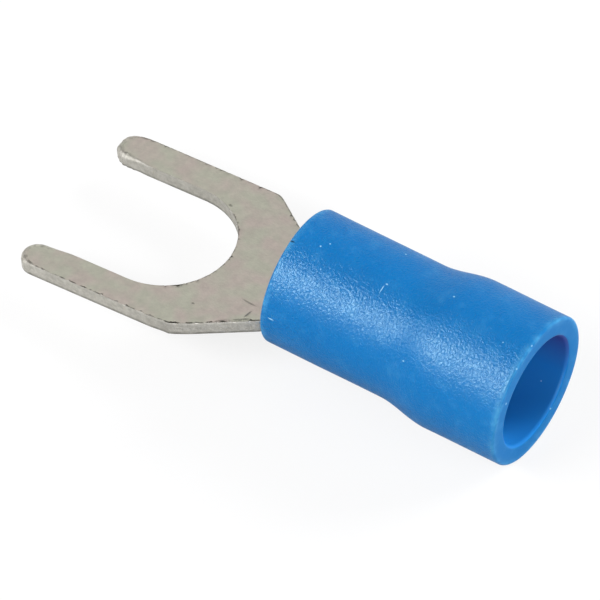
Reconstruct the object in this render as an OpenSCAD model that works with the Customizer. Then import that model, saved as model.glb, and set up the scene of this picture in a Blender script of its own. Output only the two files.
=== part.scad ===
// Insulated fork terminal: a fork and rolled barrel of tin-plated copper strip in a moulded PVC sleeve.
// Sizes are in millimetres. X runs along the wire, which enters from +X, and the fork points to -X.
// +Z is up, square to the wire, and the origin is the middle of the conductor barrel, on its axis.

/* [Fork] */
// Thickness of the copper strip that the fork and the barrel are formed from
strip = 0.6; // [0.4:0.05:1]
// Width of the open slot that slides around the stud
slot_width = 5.3; // [3.2:0.1:8.4]
// Width of each prong
prong_width = 1.225; // [0.8:0.025:3]
// Length of the prongs, from the slot's centre to their tips
prong_reach = 4.1; // [2:0.1:8]
// Distance from the slot's centre back to the sleeve's front rim
slot_setback = 5.7; // [3.5:0.1:9]
// Width that the tapering shoulders would have at the sleeve's front rim
neck_width = 3.4; // [2:0.05:6]
// Angle of each shoulder to the wire's axis, in degrees
shoulder_angle = 34; // [20:1:60]
// Radius of the two shoulder corners
shoulder_round = 1.1; // [0.2:0.1:3]
// Angle that the tongue is set down from the wire's axis, in degrees
tongue_set = 4; // [0:0.25:8]
// Depth of the tongue's top face below the wire's axis, at the sleeve's front rim
tongue_drop = 0.85; // [0.4:0.05:1.5]

/* [Conductor barrel] */
// Inside diameter of the rolled barrel
wire_bore = 2.3; // [1.2:0.1:4]
// Length of the closed barrel, along its seam
barrel_length = 4.1; // [3:0.1:9]
// Distance ahead of the sleeve's front rim at which the barrel's sides start to rise from the tongue
rise_lead = 0.35; // [0.2:0.05:0.8]
// Gap between the two edges of the strip, along the top of the barrel
seam_gap = 0.08; // [0.02:0.01:0.3]
// Size of the chamfer that leads the conductor into the barrel
bore_lead = 0.15; // [0.05:0.05:0.4]

/* [Insulation sleeve] */
// Distance that the sleeve's front rim stands ahead of the closed barrel
front_cover = 0.95; // [0.4:0.05:2]
// Wall of the sleeve over the barrel
barrel_wall = 0.91; // [0.5:0.01:1.5]
// Length over which the sleeve widens from the barrel to the mouth
flare_length = 2.15; // [0.8:0.05:4]
// Inside diameter of the mouth that takes the wire's insulation
mouth_bore = 4.4; // [2.5:0.05:8]
// Wall of the sleeve at the mouth
mouth_wall = 0.79; // [0.4:0.01:1.5]
// Length of the mouth behind the flare
mouth_length = 3.2; // [2:0.05:8]
// Radius of the front rim's outer edge
front_round = 0.1; // [0.05:0.05:0.6]
// Radius of the mouth's outer edge
mouth_round = 0.1; // [0.05:0.05:0.4]
// Radius of the inner edges at the two ends of the sleeve
lip_round = 0.15; // [0.05:0.05:0.4]

/* [Clearances] */
// Radial room between the barrel and the sleeve that is pressed over it
sleeve_fit = 0.02; // [0:0.01:0.1]
// Gap between the back edge of the tongue and the sleeve's front rim
neck_gap = 0.15; // [0.05:0.05:0.5]

/* [Hidden] */
$fn = 96;

// Amount by which a cutting shape runs past the faces that it cuts
overshoot = 0.5;
// Number of straight steps in a flare and in a small rounded edge
flare_steps = 16;
round_steps = 8;

// Barrel, from its front edge to its back edge
barrel_r = wire_bore / 2 + strip;
barrel_front = -barrel_length / 2;
barrel_back = barrel_length / 2;

// Sleeve: radii, and places along X from the front rim to the rear rim
seat_r = barrel_r + sleeve_fit;
sleeve_r = seat_r + barrel_wall;
mouth_r = mouth_bore / 2;
mouth_outer_r = mouth_r + mouth_wall;
rim_x = barrel_front - front_cover;
flare_x = barrel_back - bore_lead;
funnel_x = barrel_back + bore_lead;
rear_x = flare_x + flare_length + mouth_length;
front_edge = min(front_round, barrel_wall / 2);
rear_edge = min(mouth_round, mouth_wall / 2);
front_lip = min(lip_round, barrel_wall / 3);
rear_lip = min(lip_round, mouth_wall / 3);

// Fork, in the plane of the tongue and measured along X from the sleeve's front rim
slot_r = slot_width / 2;
fork_half = slot_r + prong_width;
tip_r = prong_width / 2;
tip_x = tip_r - slot_setback - prong_reach;
shoulder_x = (neck_width / 2 - fork_half) / tan(shoulder_angle);
shoulder_start = shoulder_x - shoulder_round * tan(shoulder_angle / 2);
back_half = neck_width / 2 + neck_gap * tan(shoulder_angle);

// Neck: the barrel's rounded floor runs out under the tongue at 45 degrees, and its sides rise to the seam
neck_x = rim_x - neck_gap;
neck_top = -tongue_drop - strip / 2;
runout_x = neck_x - (barrel_r + neck_top);
rise_x = rim_x - rise_lead;
rise_lean = atan((barrel_front - rise_x) / (barrel_r - neck_top));

// Points along an arc about [x, y], from one angle to another
function arc(x, y, r, from, to) = [
    for (i = [0:round_steps])
        let (a = from + (to - from) * i / round_steps)
            [x + r * cos(a), y + r * sin(a)]
];

// Points [radius, x] of a smooth change from one radius to another, starting at a place along X
function flare(start, r_start, r_end) = [
    for (i = [0:flare_steps])
        let (t = i / flare_steps)
            [r_start + (r_end - r_start) * (1 - cos(180 * t)) / 2, start + flare_length * t]
];

// The same points in the opposite order
function reversed(points) = [for (i = [len(points) - 1:-1:0]) points[i]];

// Outline of the tongue seen from above: two prongs with round tips, the slot and the tapered shoulders
module tongue_outline() {
    shoulder = concat(
        [[tip_x, fork_half]],
        arc(shoulder_start, fork_half - shoulder_round, shoulder_round, 90, 90 - shoulder_angle),
        [[-neck_gap, back_half]]
    );
    difference() {
        union() {
            polygon(concat(shoulder, [for (p = reversed(shoulder)) [p[0], -p[1]]]));
            for (side = [-1, 1])
                translate([tip_x, side * (slot_r + tip_r)])
                    circle(r = tip_r);
        }
        translate([-slot_setback, 0])
            circle(r = slot_r);
        translate([tip_x - prong_width, -slot_r])
            square([prong_width - slot_setback - tip_x, slot_width]);
    }
}

// Flat tongue, set down from the wire's axis
module tongue() {
    translate([rim_x, 0, -tongue_drop])
        rotate([0, -tongue_set, 0])
            translate([0, 0, -strip])
                linear_extrude(height = strip)
                    tongue_outline();
}

// Strip rolled into the conductor barrel, with its floor running forward as a trough under the tongue
module rolled_barrel() {
    reach = barrel_length + 2 * (barrel_r + overshoot);
    difference() {
        rotate([0, 90, 0])
            rotate_extrude()
                polygon([
                    [0, runout_x], [-neck_top, runout_x], [barrel_r, neck_x],
                    [barrel_r, barrel_back], [0, barrel_back]
                ]);
        // bore for the conductor, with a chamfer at the wire's end
        translate([runout_x - overshoot, 0, 0])
            rotate([0, 90, 0])
                cylinder(h = barrel_back - runout_x + 2 * overshoot, r = wire_bore / 2);
        translate([barrel_back - bore_lead, 0, 0])
            rotate([0, 90, 0])
                cylinder(h = 2 * bore_lead, r1 = wire_bore / 2, r2 = wire_bore / 2 + 2 * bore_lead);
        // open top over the tongue, and the leaning front edges of the barrel's sides
        translate([rise_x - reach, -reach / 2, neck_top])
            cube([reach, reach, reach]);
        translate([rise_x, 0, neck_top])
            rotate([0, rise_lean, 0])
                translate([-reach, -reach / 2, 0])
                    cube([reach, reach, reach]);
        // seam where the two edges of the strip meet
        translate([barrel_front - overshoot, -seam_gap / 2, 0])
            cube([barrel_length + 2 * overshoot, seam_gap, barrel_r + overshoot]);
    }
}

// Fork, neck and barrel: one piece of tin-plated copper strip
module fork_lug() {
    color([0.68, 0.67, 0.63])
        union() {
            tongue();
            rolled_barrel();
        }
}

// Moulded sleeve: narrow over the barrel and flared to a wide mouth for the wire's insulation
module insulation_sleeve() {
    outside = concat(
        arc(sleeve_r - front_edge, rim_x + front_edge, front_edge, -90, 0),
        flare(flare_x, sleeve_r, mouth_outer_r),
        arc(mouth_outer_r - rear_edge, rear_x - rear_edge, rear_edge, 0, 90)
    );
    inside = concat(
        arc(mouth_r + rear_lip, rear_x - rear_lip, rear_lip, 90, 180),
        reversed(flare(funnel_x, seat_r, mouth_r)),
        arc(seat_r + front_lip, rim_x + front_lip, front_lip, 180, 270)
    );
    color([0.2, 0.5, 0.76])
        rotate([0, 90, 0])
            rotate_extrude()
                polygon(concat(outside, inside));
}

fork_lug();
insulation_sleeve();
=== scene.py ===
"""Looks of a blue insulated fork terminal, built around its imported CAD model."""
import math

import bmesh
import bpy
from mathutils import Matrix, Vector, noise


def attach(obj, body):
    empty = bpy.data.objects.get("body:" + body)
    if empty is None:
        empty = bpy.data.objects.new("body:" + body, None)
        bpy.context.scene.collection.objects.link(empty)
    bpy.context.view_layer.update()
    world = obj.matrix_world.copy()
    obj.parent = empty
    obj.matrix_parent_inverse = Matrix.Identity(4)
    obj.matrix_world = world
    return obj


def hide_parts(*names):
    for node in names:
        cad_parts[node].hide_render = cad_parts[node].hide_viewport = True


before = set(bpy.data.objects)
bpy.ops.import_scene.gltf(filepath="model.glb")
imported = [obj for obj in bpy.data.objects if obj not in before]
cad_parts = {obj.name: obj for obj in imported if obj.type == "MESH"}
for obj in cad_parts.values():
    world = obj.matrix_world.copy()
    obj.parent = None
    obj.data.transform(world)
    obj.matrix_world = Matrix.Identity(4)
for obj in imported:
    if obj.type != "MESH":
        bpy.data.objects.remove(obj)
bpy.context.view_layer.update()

# Fork and conductor barrel: one strip of copper, blanked to a fork in a press, rolled to a barrel at its
# other end and then tin-plated in a bulk bath. The die rolls the edge over at the tips, and leaves a fine burr
# along the outer edges and the slot's root, and a slightly rough, tapered wall where the metal sheared.
MM = 0.001
strip = 0.6
slot_r = 2.65
prong_width = 1.225
prong_reach = 4.1
fork_half = slot_r + prong_width
tip_r = prong_width / 2
slot_x = -5.7
tip_x = slot_x - prong_reach + tip_r
entry_length = 0.7
entry_x = tip_x + entry_length
neck_half = 1.7
shoulder_angle = math.radians(34)
shoulder_r = 1.1
shoulder_x = (neck_half - fork_half) / math.tan(shoulder_angle) - shoulder_r * math.tan(shoulder_angle / 2)
back_x = -0.15
corner_r = 0.3
rim_x = -3.0
tongue_drop = 0.85
tongue_set = math.radians(4)
outline_step = 0.04

outline = []


def along(start, end, normal, kind):
    """Adds points of a straight stretch of the blanked outline, each with the direction out of the metal."""
    count = max(1, round(math.dist(start, end) / outline_step))
    for i in range(count):
        t = i / count
        outline.append((start[0] + (end[0] - start[0]) * t, start[1] + (end[1] - start[1]) * t, *normal, kind))


def around(centre, radius, first, last, side, kind):
    """Adds points of a round stretch; side is 1 for metal inside the arc and -1 for metal outside it."""
    first, last = math.radians(first), math.radians(last)
    count = max(4, round(abs(last - first) * radius / outline_step))
    for i in range(count):
        a = first + (last - first) * i / count
        c, s = math.cos(a), math.sin(a)
        outline.append((centre[0] + radius * c, centre[1] + radius * s, side * c, side * s, kind))


# One half of the outline, from the middle of the slot's root to just past the middle of the back edge
lean = math.pi / 2 - shoulder_angle
lean_x, lean_y = math.cos(lean), math.sin(lean)
corner_x = back_x - corner_r
corner_y = neck_half - back_x * math.tan(shoulder_angle) - corner_r * (1 - lean_x) / lean_y
past_middle = -0.001
around((slot_x, 0), slot_r, 0, 60, -1, "root")
around((slot_x, 0), slot_r, 60, 90, -1, "slot")
along((slot_x, slot_r), (entry_x, slot_r), (0, -1), "slot")
along((entry_x, slot_r), (tip_x, slot_r), (0, -1), "entry")
around((tip_x, slot_r + tip_r), tip_r, 270, 90, 1, "tip")
along((tip_x, fork_half), (shoulder_x, fork_half), (0, 1), "outer")
around((shoulder_x, fork_half - shoulder_r), shoulder_r, 90, math.degrees(lean), 1, "shoulder")
along((shoulder_x + shoulder_r * lean_x, fork_half - shoulder_r + shoulder_r * lean_y),
      (corner_x + corner_r * lean_x, corner_y + corner_r * lean_y), (lean_x, lean_y), "shoulder")
around((corner_x, corner_y), corner_r, math.degrees(lean), 0, 1, "back")
along((back_x, corner_y), (back_x, past_middle), (1, 0), "back")
outline += [(x, -y, nx, -ny, kind) for x, y, nx, ny, kind in reversed(outline[1:])]


def blended(by_kind, passes):
    """A value for each point of the outline, by kind of stretch, eased from one stretch to the next."""
    values = [by_kind[p[4]] for p in outline]
    for _ in range(passes):
        values = [(values[i - 1] + values[i] + values[(i + 1) % len(values)]) / 3 for i in range(len(values))]
    return values


tip_roll = 0.22
roll_r = blended({"root": 0.004, "slot": 0.004, "entry": 0.17, "tip": tip_roll,
                  "outer": 0.006, "shoulder": 0.006, "back": 0.05}, passes=90)
burred = blended({"root": 1.0, "slot": 0.2, "entry": 0.2, "tip": 0.35,
                  "outer": 1.0, "shoulder": 1.0, "back": 0.0}, passes=40)
bowed = blended({"root": 0.0, "slot": 0.0, "entry": 0.0, "tip": 0.0,
                 "outer": 0.0, "shoulder": 1.0, "back": 0.0}, passes=6)
sharpest_r = 0.005
burr_rise = 0.05
burr_foot = 0.02
plain_width, burr_width, shoulder_burr_width = 0.012, 0.02, 0.015
face_margin = 0.16
cut_taper = 0.02
tear_depth = 0.012
under_r = 0.045
near_bow, far_bow, far_fall, bow_start = 0.06, 0.05, 0.12, 0.06
blunting, blunt_from, blunt_reach = 0.05, 0.3, 0.8


def stray(x, y, size, layer):
    """How the blanked edge strays at a place: smooth noise of a size in mm, its own for each layer."""
    return noise.noise((x / size, y / size, layer))


def edge_section(i):
    """The blanked edge at one place, from top face to underside: inset, height, share of wall, and darkening: a
    dark line along the top edge, and painted shade on the shoulder's wall and the underside edge.
    """
    x, y = outline[i][:2]
    # The far prong's edges are the more battered, and the near prong's burr is the stronger
    uneven, burr_share = (0.8, 0.6) if y > 0 else (0.2, 1.0)
    chip = stray(x, y, 0.21, 3) + 0.6 * stray(x, y, 0.09, 5)
    lump = burred[i] * max(0.0, stray(x, y, 0.1, 21) - 0.05)
    r = max(sharpest_r, roll_r[i] * (1 + 0.5 * uneven * stray(x, y, 0.3, 17)) + 0.1 * lump)
    raised = 0.45 + 0.3 * bowed[i] + 1.8 * stray(x, y, 0.24, 8) - 0.7 * chip
    burr_and_shade = burr_share * burred[i] * max(0.0, min(1.0, raised))
    lump *= burr_rise
    width = plain_width + (burr_width + shoulder_burr_width * bowed[i]) * burr_and_shade
    points = [(r + face_margin, 0, 0, 0), (r + width + burr_foot, 0, 0, 0), (r + width, 0.4 * lump, 0, burr_and_shade)]
    for a in (0, 22.5, 45, 67.5, 90):
        a = math.radians(a)
        lip = lump * math.cos(a)
        points.append((r * (1 - math.sin(a)), lip - r * (1 - math.cos(a)), math.sin(a), burr_and_shade * math.cos(a)))
    # The shoulder's wall is darkened evenly, as painted shade.
    for t in (0.2, 0.4, 0.6, 0.8):
        torn_in = tear_depth * (1 + stray(x, y, 0.13, t * 3)) / 2
        points.append((cut_taper * t * t + torn_in, -r - (strip - r - under_r) * t, 1, 0.18 * bowed[i]))
    # A dark line along the underside edge: painted shade.
    underside_shade = 0.6 + 0.4 * stray(x, y, 0.3, 12)
    for a in (0, 45, 90):
        a = math.radians(a)
        points.append((cut_taper + under_r * (1 - math.cos(a)), -strip + under_r * (1 - math.sin(a)),
                       math.cos(a), underside_shade))
    # The near shoulder bows out to a blunt corner, and the far one falls in towards the sleeve
    along_shoulder = (fork_half - abs(y)) / (fork_half - neck_half)
    bow = bowed[i] * min(1.0, (fork_half - abs(y)) / bow_start)
    bow *= near_bow if y < 0 else far_bow - far_fall * along_shoulder
    past_corner = (x - shoulder_x - blunt_from) / blunt_reach
    blunt = blunting * max(0.0, 1 - past_corner ** 2) ** 2 if y < -slot_r else 0.0
    dent = 0.3 * uneven * roll_r[i] * max(0.0, 0.3 + stray(x, y, 0.17, 30))
    return [(inset - bow + blunt + dent, z, wall, burr_and_shade) for inset, z, wall, burr_and_shade in points]


def bridged(near, far):
    """Triangles across the strip between two rows of points, always over the shorter way."""
    faces, i, j = [], 0, 0
    while i < len(near) - 1 or j < len(far) - 1:
        i_next, j_next = min(i + 1, len(near) - 1), min(j + 1, len(far) - 1)
        over = (tongue_points[near[i_next]] - tongue_points[far[j]]).length
        back = (tongue_points[near[i]] - tongue_points[far[j_next]]).length
        if j_next == j or (i_next > i and over <= back):
            faces.append((near[i], near[i_next], far[j]))
            i = i_next
        else:
            faces.append((near[i], far[j_next], far[j]))
            j = j_next
    return faces


def new_piece(name, mesh):
    """An object for a mesh, linked into the scene at the origin of the frame."""
    piece = bpy.data.objects.new(name, mesh)
    bpy.context.scene.collection.objects.link(piece)
    return piece


def formed(piece, tool, how):
    """Cuts a tool out of a piece, or joins it on, and removes the tool."""
    modifier = piece.modifiers.new(how, "BOOLEAN")
    modifier.object, modifier.operation, modifier.solver = tool, how, "EXACT"
    made = bpy.data.meshes.new_from_object(piece.evaluated_get(bpy.context.evaluated_depsgraph_get()))
    piece.modifiers.clear()
    piece.data = made
    bpy.data.objects.remove(tool)


def closed_mesh(name, points, faces):
    """A closed mesh in metres from points in millimetres, with its faces turned outwards."""
    made = bmesh.new()
    corners = [made.verts.new([c * MM for c in p]) for p in points]
    for face in faces:
        made.faces.new([corners[i] for i in face])
    bmesh.ops.recalc_face_normals(made, faces=made.faces)
    mesh = bpy.data.meshes.new(name)
    made.to_mesh(mesh)
    made.free()
    return mesh


def turned(name, profile, sides, sag=0.0, wave=1.8):
    """A ring about the wire's axis from a profile of (place along X, radius), uneven by up to sag inwards."""
    points, faces = [], []
    for i in range(sides):
        a = 2 * math.pi * i / sides
        for x, r in profile:
            r -= sag * (0.65 + 0.35 * noise.noise((x / wave, r * math.cos(a) / wave, r * math.sin(a) / wave)))
            points.append((x, r * math.cos(a), r * math.sin(a)))
    n = len(profile)
    for i in range(sides):
        j = (i + 1) % sides
        for k in range(n):
            m = (k + 1) % n
            faces.append((i * n + k, j * n + k, j * n + m, i * n + m))
    return closed_mesh(name, points, faces)


def block(low, high, place=Matrix()):
    """A box between two corners, for cutting."""
    corners = [place @ Vector((x, y, z)) for x in (low[0], high[0])
               for y in (low[1], high[1]) for z in (low[2], high[2])]
    faces = [(0, 1, 3, 2), (4, 6, 7, 5), (0, 4, 5, 1), (2, 3, 7, 6), (0, 2, 6, 4), (1, 5, 7, 3)]
    return new_piece("cutter", closed_mesh("cutter", corners, faces))


set_down = Matrix.Translation((rim_x, 0, -tongue_drop)) @ Matrix.Rotation(-tongue_set, 4, "Y")
tongue_points, tongue_marks = [], []
for i, (x, y, nx, ny, _) in enumerate(outline):
    for inset, z, wall, burr_and_shade in edge_section(i):
        tongue_points.append(set_down @ Vector((x - nx * inset, y - ny * inset, z)))
        tongue_marks.append((wall, burr_and_shade, roll_r[i] / tip_roll if 0 < wall < 1 else 0.0))
count = len(outline)
ring = len(tongue_points) // count
half = (count + 1) // 2
tip = min(range(half), key=lambda i: outline[i][0])
tongue_faces = []
# The top face and the underside are filled across each prong, from the slot's edge to the outer edge
for k in (0, ring - 1):
    tongue_faces.append((k, (half - 1) * ring + k, half * ring + k))
    for sides in ((range(tip + 1), range(half - 1, tip, -1)),
                  ((0, *range(count - 1, count - tip - 1, -1)), range(half, count - tip))):
        tongue_faces += bridged(*([i * ring + k for i in side] for side in sides))
for i in range(count):
    j = (i + 1) % count
    for k in range(ring - 1):
        tongue_faces.append((i * ring + k, j * ring + k, j * ring + k + 1, i * ring + k + 1))

wire_r = 1.15
barrel_r = wire_r + strip
barrel_front, barrel_back = -2.05, 2.05
barrel_sides = 128
bore_lead = 0.15
seam_gap = 0.08
neck_x = rim_x + back_x
neck_top = -tongue_drop - strip / 2
runout_x = neck_x - barrel_r - neck_top
rise_lead = 0.35
rise_x = rim_x - rise_lead
rise_lean = math.atan((barrel_front - rise_x) / (barrel_r - neck_top))
overshoot = 0.5
reach = 8

lug = new_piece("stamped_fork_lug", turned("stamped_fork_lug", [
    (runout_x, wire_r), (neck_x, barrel_r), (barrel_back, barrel_r),
    (barrel_back, wire_r + bore_lead), (barrel_back - bore_lead, wire_r)], barrel_sides))
formed(lug, block((rise_x - reach, -reach, neck_top), (rise_x, reach, reach)), "DIFFERENCE")
leaning = Matrix.Translation((rise_x, 0, neck_top)) @ Matrix.Rotation(rise_lean, 4, "Y")
formed(lug, block((-reach, -reach, 0), (0, reach, reach), leaning), "DIFFERENCE")
formed(lug, block((barrel_front - overshoot, -seam_gap / 2, 0),
                  (barrel_back + overshoot, seam_gap / 2, reach)), "DIFFERENCE")
formed(lug, new_piece("tongue", closed_mesh("tongue", tongue_points, tongue_faces)), "UNION")

# Each point of the blanked edge keeps how far it belongs to the sheared wall, to the dark edge line and painted
# shade, and to the rolled edge.
# The points are found again after the joining by their place, to a ten-thousandth of a millimetre.
fineness = 1e4
marks = {tuple(round(c * fineness) for c in p): m for p, m in zip(tongue_points, tongue_marks)}
for place, name in enumerate(("sheared_wall", "edge_burr_and_shade", "rolled_edge")):
    values = lug.data.attributes.new(name, "FLOAT", "POINT").data
    for v in lug.data.vertices:
        found = marks.get(tuple(round(c / MM * fineness) for c in v.co))
        values[v.index].value = found[place] if found else 0.0
lug.data.shade_smooth()
lug.data.set_sharp_from_angle(angle=math.radians(40))
lug.modifiers.new("even_shading", "WEIGHTED_NORMAL").keep_sharp = True


def linear(colour):
    """An sRGB hex colour as linear RGBA."""
    parts = [int(colour[i:i + 2], 16) / 255 for i in (1, 3, 5)]
    return [c / 12.92 if c <= 0.04045 else ((c + 0.055) / 1.055) ** 2.4 for c in parts] + [1.0]


def add(tree, kind, inputs=None, **settings):
    """Adds a node, with its settings, and its inputs as values or as links from other sockets."""
    made = tree.nodes.new("ShaderNode" + kind)
    for name, value in settings.items():
        setattr(made, name, value)
    for name, value in (inputs or {}).items():
        if isinstance(value, bpy.types.NodeSocket):
            tree.links.new(value, made.inputs[name])
        else:
            made.inputs[name].default_value = value
    return made


def new_finish(name):
    """An empty node material with its output and its object coordinates in metres."""
    material = bpy.data.materials.new(name)
    material.use_nodes = True
    tree = material.node_tree
    tree.nodes.clear()
    return material, tree, add(tree, "OutputMaterial"), add(tree, "TexCoord").outputs["Object"]


def flaws(tree, here, spots):
    """How far a point lies in some small oval marks: middle and size in mm, and turn about Z in degrees."""
    total = 0.0
    for middle, turn, size in spots:
        inside = add(tree, "Mapping", {"Vector": here, "Location": [c * MM for c in middle],
                                       "Rotation": (0, 0, math.radians(turn)),
                                       "Scale": [c / 2 * MM for c in size]}, vector_type="TEXTURE")
        off = add(tree, "VectorMath", {0: inside.outputs[0]}, operation="LENGTH")
        mark = add(tree, "MapRange", {"Value": off.outputs["Value"], "From Min": 1.0, "From Max": 0.4})
        total = add(tree, "Math", {0: mark.outputs[0], 1: total}, operation="MAXIMUM").outputs[0]
    return total


# Tin plate on copper, bulk-plated: a warm satin grey, faintly clouded from greenish to pinkish, with fine pits
# and small dark marks from tumbling. The sheared walls have a lighter, mottled colour: partly freshly sheared
# tin, and partly painted light for the bright floor that they mirror. Along the edges the colour is darkened: a
# broken dark line at the burr along the top edge, and painted shade on the shoulder's wall and along the
# underside edge.
# The pits are drawn at 0.1 mm, coarser than the real ones, so that they show.
tin, tree, output, here = new_finish("tin_plate_bulk_plated")
burr_and_shade = add(tree, "Attribute", attribute_name="edge_burr_and_shade").outputs["Fac"]
wall = add(tree, "Attribute", attribute_name="sheared_wall").outputs["Fac"]
clouds = add(tree, "TexNoise", {"Vector": here, "Scale": 1 / (1.0 * MM), "Detail": 1.5, "Roughness": 0.5})
tint = add(tree, "ValToRGB", {"Fac": clouds.outputs["Fac"]})
tint.color_ramp.elements[0].position, tint.color_ramp.elements[0].color = 0.38, linear("#DDDCCB")
tint.color_ramp.elements[1].position, tint.color_ramp.elements[1].color = 0.62, linear("#E7DBD1")
bloom = add(tree, "TexNoise", {"Vector": here, "Scale": 1 / (0.3 * MM), "Detail": 4.0, "Roughness": 0.7})
shade = add(tree, "MapRange", {"Value": bloom.outputs["Fac"], "From Min": 0.3, "From Max": 0.7,
                               "To Min": 0.9, "To Max": 1.06})
tint = add(tree, "VectorMath", {0: tint.outputs["Color"], "Scale": shade.outputs[0]}, operation="SCALE")
torn = add(tree, "TexNoise", {"Vector": here, "Scale": 1 / (0.2 * MM), "Detail": 4.0, "Roughness": 0.7})
# The walls' lighter colour is partly freshly sheared tin and partly painted light, standing for the bright
# floor that they mirror.
cut_wall_and_painted_light = add(tree, "ValToRGB", {"Fac": torn.outputs["Fac"]})
cut_wall_and_painted_light.color_ramp.elements[0].position, cut_wall_and_painted_light.color_ramp.elements[0].color = 0.3, linear("#D6D3CA")
cut_wall_and_painted_light.color_ramp.elements[1].position, cut_wall_and_painted_light.color_ramp.elements[1].color = 0.7, linear("#F7F4ED")
colour = add(tree, "Mix", {0: wall, 6: tint.outputs[0], 7: cut_wall_and_painted_light.outputs["Color"]}, data_type="RGBA")
tumbled = add(tree, "TexVoronoi", {"Vector": here, "Scale": 1 / (0.7 * MM)}, feature="F1")
chosen = add(tree, "SeparateColor", {0: tumbled.outputs["Color"]})
nearby = add(tree, "MapRange", {"Value": tumbled.outputs["Distance"], "From Min": 0.16, "From Max": 0.03})
marked = add(tree, "Math", {0: chosen.outputs[0], 1: 0.62}, operation="GREATER_THAN")
dents = add(tree, "Math", {0: nearby.outputs[0], 1: marked.outputs[0]}, operation="MULTIPLY")
scratched = flaws(tree, here, [((-4.17, -1.43, -0.93), -6, (0.8, 0.1, 0.2)),
                               ((-3.9, -1.96, -0.92), 80, (0.5, 0.09, 0.2)),
                               ((-5.92, -2.51, -1.05), 20, (0.14, 0.1, 0.2)),
                               ((-7.43, 2.46, -1.16), -15, (0.2, 0.12, 0.2))])
scuffed = flaws(tree, here, [((-4.44, -2.66, -0.95), 33, (0.8, 0.13, 0.2)),
                             ((-3.95, -2.31, -0.92), 34, (0.9, 0.15, 0.2)),
                             ((-6.0, -3.7, -1.06), 27, (0.7, 0.1, 0.2))])
broken = add(tree, "MapRange", {"Value": torn.outputs["Fac"], "From Min": 0.58, "From Max": 0.45})
scuffed = add(tree, "Math", {0: scuffed, 1: broken.outputs[0]}, operation="MULTIPLY")
scratched = add(tree, "Math", {0: scuffed.outputs[0], 1: scratched}, operation="MAXIMUM")
worn = add(tree, "Math", {0: dents.outputs[0], 1: 0.16, 2: scratched.outputs[0]}, operation="MULTIPLY_ADD")
# Darkening along the edges: a broken dark line at the burr along the top edge, and painted shade on the
# shoulder's wall and along the underside edge.
edge_darkening = add(tree, "Math", {0: burr_and_shade, 1: 0.85}, operation="MULTIPLY")
dark = add(tree, "Math", {0: worn.outputs[0], 1: 0.45, 2: edge_darkening.outputs[0]},
           operation="MULTIPLY_ADD", use_clamp=True)
colour = add(tree, "Mix", {0: dark.outputs[0], 6: colour.outputs[2], 7: linear("#4A463D")}, data_type="RGBA")
satin = add(tree, "MapRange", {"Value": clouds.outputs["Fac"], "From Min": 0.3, "From Max": 0.7,
                               "To Min": 0.34, "To Max": 0.42})
satin = add(tree, "Math", {0: wall, 1: 0.14, 2: satin.outputs[0]}, operation="MULTIPLY_ADD")
rolled = add(tree, "Attribute", attribute_name="rolled_edge").outputs["Fac"]
satin = add(tree, "Math", {0: rolled, 1: -0.04, 2: satin.outputs[0]}, operation="MULTIPLY_ADD")
pits = add(tree, "TexNoise", {"Vector": here, "Scale": 1 / (0.1 * MM), "Detail": 2.0, "Roughness": 0.6})
pitted = add(tree, "Bump", {"Height": pits.outputs["Fac"], "Strength": 1.0, "Distance": 0.006 * MM})
rugged = add(tree, "Math", {0: torn.outputs["Fac"], 1: wall}, operation="MULTIPLY")
ripped = add(tree, "Bump", {"Height": rugged.outputs[0], "Strength": 1.0, "Distance": 0.026 * MM,
                            "Normal": pitted.outputs[0]})
nicked = add(tree, "Bump", {"Height": worn.outputs[0], "Strength": 1.0, "Distance": 0.012 * MM,
                            "Normal": ripped.outputs[0]}, invert=True)
metal = add(tree, "BsdfPrincipled", {"Base Color": colour.outputs[2], "Metallic": 1.0,
                                     "Roughness": satin.outputs[0], "Normal": nicked.outputs[0]})
tree.links.new(metal.outputs[0], output.inputs["Surface"])
lug.data.materials.append(tin)
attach(lug, "root")
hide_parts("fork_lug")

# Insulation sleeve: a soft PVC moulding, pressed over the barrel and flared at the back for the wire's
# insulation. Its outside has the mould's fine leather grain, and its bore and ends are plain.
seat_r, sleeve_r = 1.77, 2.68
mouth_r, mouth_outer_r = 2.2, 2.99
flare_x, funnel_x, flare_length = 1.9, 2.2, 2.15
rear_x = 7.25
front_round, mouth_round, lip_round = 0.1, 0.1, 0.15
sleeve_sides = 192
sleeve_sag = 0.02
pale_edge_reach = 0.3
bore_share = 0.3


def bend(x, r, radius, first, last, steps=9):
    """Points (place along X, radius) of a rounded edge of the sleeve."""
    angles = [math.radians(first + (last - first) * i / steps) for i in range(steps + 1)]
    return [(x + radius * math.sin(a), r + radius * math.cos(a)) for a in angles]


def straight(start, end, step=0.2):
    """Points between the ends of a straight stretch of the sleeve's profile."""
    count = max(2, round(math.dist(start, end) / step))
    return [(start[0] + (end[0] - start[0]) * i / count, start[1] + (end[1] - start[1]) * i / count)
            for i in range(1, count)]


def eased(start, first, last, steps=22):
    """Points of a smooth change from one radius to another along the flare."""
    return [(start + flare_length * i / steps, first + (last - first) * (1 - math.cos(math.pi * i / steps)) / 2)
            for i in range(steps + 1)]


profile = []
for stretch in (bend(rim_x + front_round, sleeve_r - front_round, front_round, -90, 0),
                eased(flare_x, sleeve_r, mouth_outer_r),
                bend(rear_x - mouth_round, mouth_outer_r - mouth_round, mouth_round, 0, 90),
                bend(rear_x - lip_round, mouth_r + lip_round, lip_round, 90, 180),
                eased(funnel_x, seat_r, mouth_r)[::-1],
                bend(rim_x + lip_round, seat_r + lip_round, lip_round, 180, 270)):
    if profile:
        profile += straight(profile[-1], stretch[0])
    profile += stretch
profile += straight(profile[-1], profile[0])
sleeve = new_piece("moulded_sleeve", turned("moulded_sleeve", profile, sleeve_sides, sag=sleeve_sag))

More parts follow.
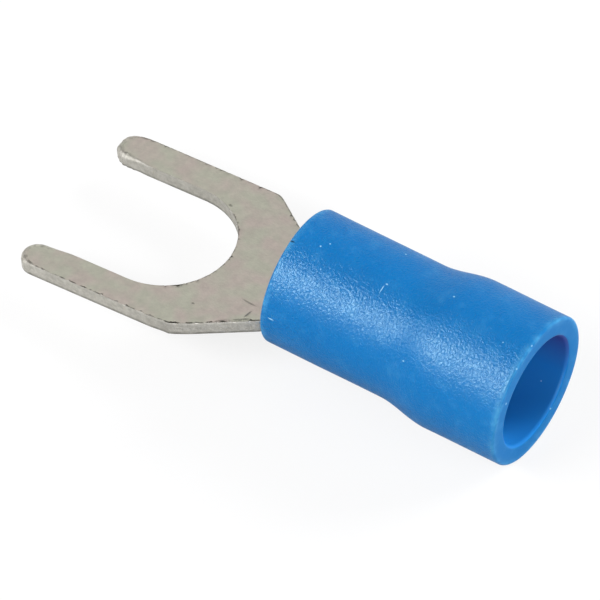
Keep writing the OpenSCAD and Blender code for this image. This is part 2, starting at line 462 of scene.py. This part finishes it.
# Each point keeps whether it is on the grained outside, how near it is to an outer edge, and whether it is in
# the bore: a small share low down, and more towards the upper side, where the least light comes in
outside = sleeve.data.attributes.new("outside", "FLOAT", "POINT")
inside = sleeve.data.attributes.new("bore", "FLOAT", "POINT")
edges = sleeve.data.attributes.new("moulded_edge", "FLOAT", "POINT")
for v in sleeve.data.vertices:
    x, r = v.co.x / MM, math.hypot(v.co.y, v.co.z) / MM
    outside.data[v.index].value = 1.0 if r > sleeve_r - front_round and x < rear_x - mouth_round else 0.0
    in_bore = r < mouth_r + 0.5 * lip_round and x > rim_x + 0.5 * lip_round
    upper = max(0.0, min(1.0, (v.co.z / MM / r + 0.4) / 0.8))
    inside.data[v.index].value = bore_share + (1 - bore_share) * upper if in_bore else 0.0
    to_edge = min(math.hypot(x - rim_x, r - sleeve_r), math.hypot(x - rear_x, r - mouth_outer_r))
    edges.data[v.index].value = max(0.0, 1.0 - to_edge / pale_edge_reach)
sleeve.data.shade_smooth()

# Plasticised PVC, moulded: a strong mid blue that lets a little light through its slender edges, semi-gloss,
# with a leather grain that shows where light glances off it, edges paler in patches (partly chafed, partly a
# painted highlight along the rims), a few specks of pale dust and one painted glint on a scratch.
# The grain is drawn about half as coarse again as it is, so that it shows.
pvc, tree, output, here = new_finish("pvc_moulded_leather_grain")
outer = add(tree, "Attribute", attribute_name="outside").outputs["Fac"]
cast = add(tree, "TexNoise", {"Vector": here, "Scale": 1 / (2.5 * MM), "Detail": 2.0})
blue = add(tree, "ValToRGB", {"Fac": cast.outputs["Fac"]})
blue.color_ramp.elements[0].position, blue.color_ramp.elements[0].color = 0.3, linear("#086BAF")
blue.color_ramp.elements[1].position, blue.color_ramp.elements[1].color = 0.7, linear("#0B6FB3")
squeezed = add(tree, "Mapping", {"Vector": here, "Scale": (1.25, 1, 1)})
creases = add(tree, "TexNoise", {"Vector": squeezed.outputs[0], "Scale": 1 / (0.105 * MM), "Detail": 1.0,
                                 "Roughness": 0.5, "Distortion": 0.6})
grain = add(tree, "MapRange", {"Value": creases.outputs["Fac"], "From Min": 0.3, "From Max": 0.7})
grained = add(tree, "Math", {0: grain.outputs[0], 1: outer}, operation="MULTIPLY")
# Pale specks of dust, and one painted glint along a scratch on the sleeve's near side (the long oval at -2.53,
# -2.66, 0.3).
dust_and_glint = flaws(tree, here, [
    ((-1.88, -0.44, 2.645), 0, (0.09, 0.09, 0.09)), ((-1.64, -0.17, 2.675), 0, (0.08, 0.08, 0.08)),
    ((0.8, 1.16, 2.42), 0, (0.1, 0.1, 0.1)), ((1.1, -0.64, 2.6), 0, (0.12, 0.08, 0.1)),
    ((1.04, -0.88, 2.53), 0, (0.05, 0.4, 0.4)), ((3.03, -2.515, 1.335), 0, (0.1, 0.08, 0.08)),
    ((-2.53, -2.66, 0.3), 0, (0.32, 0.1, 0.07)), ((3.61, -0.07, 2.955), 0, (0.1, 0.09, 0.09)),
    ((6.23, -0.9, 2.85), 0, (0.07, 0.07, 0.07)), ((7.23, -0.51, 2.92), 0, (0.09, 0.12, 0.09)),
    ((7.22, -1.51, 2.57), 0, (0.12, 0.1, 0.1)), ((7.24, -2.2, 1.34), 0, (0.08, 0.1, 0.16)),
    ((6.48, 1.68, -1.41), 0, (0.07, 0.07, 0.07)), ((7.2, 1.16, -1.97), 0, (0.14, 0.12, 0.1))])
nick = flaws(tree, here, [((-2.89, -0.76, 2.57), 5, (0.26, 0.1, 0.2))])
edge = add(tree, "Attribute", attribute_name="moulded_edge").outputs["Fac"]
handled = add(tree, "TexNoise", {"Vector": here, "Scale": 1 / (0.6 * MM), "Detail": 4.0, "Roughness": 0.65})
haze = add(tree, "MapRange", {"Value": handled.outputs["Fac"], "From Min": 0.52, "From Max": 0.8,
                              "To Max": 0.3})
colour = add(tree, "Mix", {0: haze.outputs[0], 6: blue.outputs["Color"], 7: linear("#4A98CE")},
             data_type="RGBA")
# The bore is painted a lighter blue, standing for light bounced about inside it, and shades to violet towards
# its upper side as painted shade.
bore = add(tree, "Attribute", attribute_name="bore").outputs["Fac"]
painted_bore_light = add(tree, "MapRange", {"Value": bore, "From Max": bore_share})
painted_bore_shade = add(tree, "MapRange", {"Value": bore, "From Min": bore_share, "From Max": 1.0})
colour = add(tree, "Mix", {0: painted_bore_light.outputs[0], 6: colour.outputs[2], 7: linear("#2079C6")}, data_type="RGBA")
colour = add(tree, "Mix", {0: painted_bore_shade.outputs[0], 6: colour.outputs[2], 7: linear("#3A4C98")}, data_type="RGBA")
# Near the outer edges the colour is paler in patches: partly chafing, partly a painted highlight along the
# rims.
chafed_and_highlight = add(tree, "MapRange", {"Value": handled.outputs["Fac"], "From Min": 0.4, "From Max": 0.65,
                                "To Min": 0.12, "To Max": 0.6})
edge = add(tree, "Math", {0: edge, 1: chafed_and_highlight.outputs[0]}, operation="MULTIPLY")
colour = add(tree, "Mix", {0: edge.outputs[0], 6: colour.outputs[2], 7: linear("#5CAEDB")}, data_type="RGBA")
colour = add(tree, "Mix", {0: dust_and_glint, 6: colour.outputs[2], 7: linear("#9CCDEA")}, data_type="RGBA")
colour = add(tree, "Mix", {0: nick, 6: colour.outputs[2], 7: linear("#123A5E")}, data_type="RGBA")
leather = add(tree, "Bump", {"Height": grained.outputs[0], "Strength": 1.0, "Distance": 0.016 * MM})
slant = add(tree, "LayerWeight", {"Blend": 0.5}).outputs["Facing"]
gloss = add(tree, "MapRange", {"Value": slant, "From Min": 0.05, "From Max": 0.2,
                               "To Min": 0.84, "To Max": 0.28})
ends = add(tree, "MapRange", {"Value": outer, "To Min": 0.4, "To Max": 1.0})
gloss = add(tree, "Math", {0: gloss.outputs[0], 1: ends.outputs[0]}, operation="MULTIPLY")
smooth = add(tree, "MapRange", {"Value": bore, "To Min": 0.34, "To Max": 0.5})
plastic = add(tree, "BsdfPrincipled", {"Base Color": colour.outputs[2], "Roughness": smooth.outputs[0],
                                       "IOR": 1.53, "Specular IOR Level": gloss.outputs[0],
                                       "Specular Tint": linear("#D2FAFF"), "Normal": leather.outputs[0],
                                       "Subsurface Weight": 0.12, "Subsurface Radius": (0.2, 0.6, 1.0),
                                       "Subsurface Scale": 0.4 * MM})
tree.links.new(plastic.outputs[0], output.inputs["Surface"])
sleeve.data.materials.append(pvc)
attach(sleeve, "root")
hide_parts("insulation_sleeve")

# Floor: a wide round sheet of matt white paper under the sleeve's mouth. It is white to the eye, pale in the
# metal, keeps a soft shadow, and throws light back up as paper does.
floor_r = 300
floor_sides = 64
floor = new_piece("paper_floor", closed_mesh("paper_floor", [
    (floor_r * math.cos(a), floor_r * math.sin(a), -mouth_outer_r) for a in
    [2 * math.pi * i / floor_sides for i in range(floor_sides)]], [list(range(floor_sides))]))

# Paper, matt and uncoated: an even white with faint fibres. Seen directly it is white with the shadow kept.
paper, tree, output, here = new_finish("paper_matt_white")
path = add(tree, "LightPath")
mirrored = add(tree, "Math", {0: path.outputs["Is Glossy Ray"], 1: path.outputs["Is Transmission Ray"]},
               operation="MAXIMUM")
mirrored = add(tree, "Math", {0: mirrored.outputs[0], 1: 0.02}, operation="MULTIPLY")
fibres = add(tree, "TexNoise", {"Vector": here, "Scale": 1 / (0.3 * MM), "Detail": 3.0})
sheet = add(tree, "ValToRGB", {"Fac": fibres.outputs["Fac"]})
sheet.color_ramp.elements[0].color, sheet.color_ramp.elements[1].color = linear("#B4B4B2"), linear("#BABAB8")
matt = add(tree, "BsdfDiffuse", {"Color": sheet.outputs["Color"]})
plain = add(tree, "BsdfDiffuse", {"Color": linear("#F6F6F6")})
bright = add(tree, "Emission", {"Color": linear("#FFFFFF"), "Strength": 1.0})
mirror = add(tree, "MixShader", {0: mirrored.outputs[0], 1: matt.outputs[0], 2: bright.outputs[0]})
view = add(tree, "MixShader", {0: 0.8, 1: plain.outputs[0], 2: bright.outputs[0]})
white = add(tree, "MixShader", {0: path.outputs["Is Camera Ray"], 1: mirror.outputs[0], 2: view.outputs[0]})
tree.links.new(white.outputs[0], output.inputs["Surface"])
floor.data.materials.append(paper)

# Light: a pale room, mirrored palest at the horizon. A strip at the front left draws the band along the sleeve,
# and a wide dim box on that side gives the fork its glints, because the strip's mirror image would wash the
# tongue out from behind. A sheet at the back left shows in the tongue's top, and boxes on the right fill in.
world = bpy.data.worlds.new("pale_room")
bpy.context.scene.world = world
world.use_nodes = True
tree = world.node_tree
tree.nodes.clear()
height = add(tree, "SeparateXYZ", {0: add(tree, "TexCoord").outputs["Generated"]}).outputs["Z"]
path = add(tree, "LightPath")
horizon = add(tree, "MapRange", {"Value": height, "From Min": 0.6, "From Max": 0.0, "To Max": 0.55})
mirrored = add(tree, "Math", {0: path.outputs["Is Glossy Ray"], 1: path.outputs["Is Transmission Ray"]},
               operation="MAXIMUM")
mirrored = add(tree, "Math", {0: mirrored.outputs[0], 1: horizon.outputs[0]}, operation="MULTIPLY")
seen = add(tree, "Math", {0: path.outputs["Is Camera Ray"], 1: mirrored.outputs[0]}, operation="MAXIMUM")
backdrop = add(tree, "Mix", {0: seen.outputs[0], 6: linear("#6C6C6C"), 7: linear("#FFFFFF")}, data_type="RGBA")
air = add(tree, "Background", {"Color": backdrop.outputs[2], "Strength": 1.0})
tree.links.new(air.outputs[0], add(tree, "OutputWorld").inputs["Surface"])


def soft_box(name, azimuth, elevation, distance, width, height, watts, glare=True, lit=()):
    """A soft box that faces the object from an azimuth and elevation in degrees, out of the camera's sight.

    Sizes are in metres. Without glare it doesn't show in reflections, and lit names all that it lights."""
    a, e = math.radians(azimuth), math.radians(elevation)
    lamp = bpy.data.lights.new(name, "AREA")
    lamp.shape, lamp.size, lamp.size_y, lamp.energy = "RECTANGLE", width, height, watts
    box = new_piece(name, lamp)
    away = Vector((math.sin(a) * math.cos(e), -math.cos(a) * math.cos(e), math.sin(e)))
    box.location = away * distance
    box.rotation_euler = away.to_track_quat("Z", "Y").to_euler()
    box.visible_camera, box.visible_glossy = False, glare
    if lit:
        box.light_linking.receiver_collection = bpy.data.collections.new(name)
        for piece in lit:
            box.light_linking.receiver_collection.objects.link(piece)


soft_box("front_left_strip", -39, 36, 0.5, 0.42, 0.14, 2.5, lit=[sleeve, floor])
soft_box("front_left_soft_box", -39, 33, 0.5, 0.7, 0.7, 1.4, lit=[lug])
soft_box("front_right_soft_box", 45, 4, 0.5, 0.3, 0.3, 1.5)
soft_box("right_soft_box", 85, 30, 0.5, 0.3, 0.3, 0.7, glare=False)
soft_box("back_right_soft_box", 150, 24, 0.5, 0.3, 0.3, 2.8, glare=False)
soft_box("back_left_sheet", -143, 36, 0.6, 0.5, 0.5, 0.4)

# Camera: a long lens far off, above the sleeve's near side, with the small roll that the photograph has.
# Its place and its lens come from a fit of the outline to the photograph.
azimuth, elevation, roll = (math.radians(d) for d in (29.929, 47.306, 3.173))
far = 1.0
aim = Vector((-2.2916, -1.0077, 0)) * MM
sight = Vector((-math.sin(azimuth) * math.cos(elevation), math.cos(azimuth) * math.cos(elevation),
                -math.sin(elevation)))
right = Vector((math.cos(azimuth), math.sin(azimuth), 0))
up = right.cross(sight)
right, up = math.cos(roll) * right + math.sin(roll) * up, math.cos(roll) * up - math.sin(roll) * right
lens = bpy.data.cameras.new("camera")
lens.sensor_width, lens.lens = 36.0, 1645.56
lens.clip_start, lens.clip_end = 0.01, 10.0
camera = new_piece("camera", lens)
camera.matrix_world = Matrix.Translation(aim - sight * far) @ Matrix((right, up, -sight)).transposed().to_4x4()
bpy.context.scene.camera = camera
bpy.context.scene.view_settings.view_transform = "Standard"
